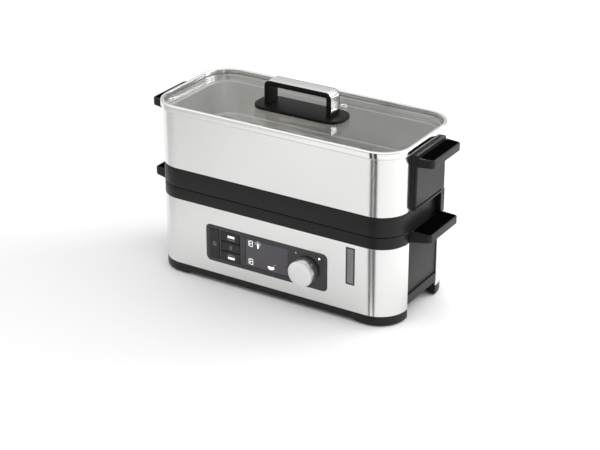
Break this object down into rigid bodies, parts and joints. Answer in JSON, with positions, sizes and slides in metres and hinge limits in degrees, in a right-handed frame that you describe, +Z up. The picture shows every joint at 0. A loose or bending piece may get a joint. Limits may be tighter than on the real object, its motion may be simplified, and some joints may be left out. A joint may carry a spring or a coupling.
{
  "type": "egg cooker",
  "caption": "Two-tier countertop egg cooker and steamer: base with water tank, control panel and knob, drip tray, handled steel bowl with perforated inserts, framed glass lid.",
  "frame": {"origin": "on the table, under the middle of the overall box, knob and handles included", "axes": "+Z up, +X to the right along the length, -Y towards the user and the control panel"},
  "size_m": [0.372, 0.1624, 0.2396],
  "materials": {
    "satin_black": "satin",
    "rubber": "matt",
    "zinc_steel": "satin",
    "brushed_steel": "brushed",
    "dark_grey": "satin",
    "cast_aluminium": "cast",
    "ivory": "satin",
    "clear_glass": "polished",
    "clear_plastic": "polished",
    "board_green": "satin",
    "gloss_black": "gloss",
    "smoked_lens": "gloss",
    "bright_steel": "polished"
  },
  "bodies": {
    "base": {"base_pan": "satin_black", "bottom_cover": "satin_black", "foot_1": "rubber", "foot_2": "rubber", "foot_3": "rubber", "foot_4": "rubber", "cover_screw_1": "zinc_steel", "cover_screw_2": "zinc_steel", "cover_screw_3": "zinc_steel", "cover_screw_4": "zinc_steel", "chassis": "satin_black", "front_sleeve": "brushed_steel", "rear_sleeve": "brushed_steel", "side_panel_right": "dark_grey", "side_panel_left": "dark_grey", "base_rim": "satin_black", "cord_gland": "rubber", "water_tank": "dark_grey", "steam_ring": "satin_black", "heater_plate": "cast_aluminium", "heater_gasket": "rubber", "heating_element": "zinc_steel", "thermostat": "ivory", "sight_glass": "clear_plastic", "power_board": "board_green", "relay": "gloss_black", "transformer": "zinc_steel", "control_board": "board_green", "display_module": "dark_grey", "display_lens": "smoked_lens", "panel_fascia": "gloss_black", "indicator_left": "ivory", "indicator_right": "ivory", "encoder_body": "zinc_steel"},
    "level_float": {"level_float": "ivory"},
    "power_key": {"power_key": "gloss_black"},
    "upper_zone_key": {"upper_zone_key": "gloss_black"},
    "egg_key": {"egg_key": "gloss_black"},
    "lower_zone_key": {"lower_zone_key": "gloss_black"},
    "knob_plunger": {"encoder_plunger": "ivory"},
    "knob": {"encoder_shaft": "zinc_steel", "knob_core": "satin_black", "knob_shell": "bright_steel"},
    "drip_tray": {"drip_tray": "satin_black"},
    "bowl": {"bowl": "brushed_steel", "bracket_right": "satin_black", "bracket_left": "satin_black", "bowl_handle_right": "satin_black", "bowl_handle_left": "satin_black"},
    "lower_insert": {"lower_insert": "brushed_steel"},
    "upper_insert": {"upper_insert": "brushed_steel"},
    "lid": {"lid_glass": "clear_glass", "lid_frame": "bright_steel", "lid_seal": "rubber", "vent_eyelet": "bright_steel", "handle_plate": "satin_black", "handle_bridge": "satin_black", "handle_trim": "bright_steel", "lid_screw_1": "zinc_steel", "lid_screw_2": "zinc_steel"}
  },
  "joints": [
    {"name": "power_key_press", "type": "slide", "parent": "base", "child": "power_key", "axis": [0, 1, 0], "range_m": [0, 0.0008], "stiffness_N_per_m": 400},
    {"name": "upper_zone_key_press", "type": "slide", "parent": "base", "child": "upper_zone_key", "axis": [0, 1, 0], "range_m": [0, 0.0008], "stiffness_N_per_m": 400},
    {"name": "egg_key_press", "type": "slide", "parent": "base", "child": "egg_key", "axis": [0, 1, 0], "range_m": [0, 0.0008], "stiffness_N_per_m": 400},
    {"name": "lower_zone_key_press", "type": "slide", "parent": "base", "child": "lower_zone_key", "axis": [0, 1, 0], "range_m": [0, 0.0008], "stiffness_N_per_m": 400},
    {"name": "knob_press", "type": "slide", "parent": "base", "child": "knob_plunger", "axis": [0, 1, 0], "range_m": [0, 0.0008], "stiffness_N_per_m": 900},
    {"name": "knob_turn", "type": "hinge", "parent": "knob_plunger", "child": "knob", "pos_m": [0.05131, -0.08115, 0.0512], "axis": [0, -1, 0], "continuous": true},
    {"name": "float_rise", "type": "slide", "parent": "base", "child": "level_float", "axis": [0, 0, 1], "range_m": [0, 0.034]},
    {"name": "drip_tray_lift", "type": "slide", "parent": "base", "child": "drip_tray", "axis": [0, 0, 1], "range_m": [0, 0.06]},
    {"name": "bowl_lift", "type": "slide", "parent": "drip_tray", "child": "bowl", "axis": [0, 0, 1], "range_m": [0, 0.1]},
    {"name": "lower_insert_lift", "type": "slide", "parent": "bowl", "child": "lower_insert", "axis": [0, 0, 1], "range_m": [0, 0.1]},
    {"name": "upper_insert_lift", "type": "slide", "parent": "lower_insert", "child": "upper_insert", "axis": [0, 0, 1], "range_m": [0, 0.08]},
    {"name": "lid_lift", "type": "slide", "parent": "upper_insert", "child": "lid", "axis": [0, 0, 1], "range_m": [0, 0.12]}
  ]
}
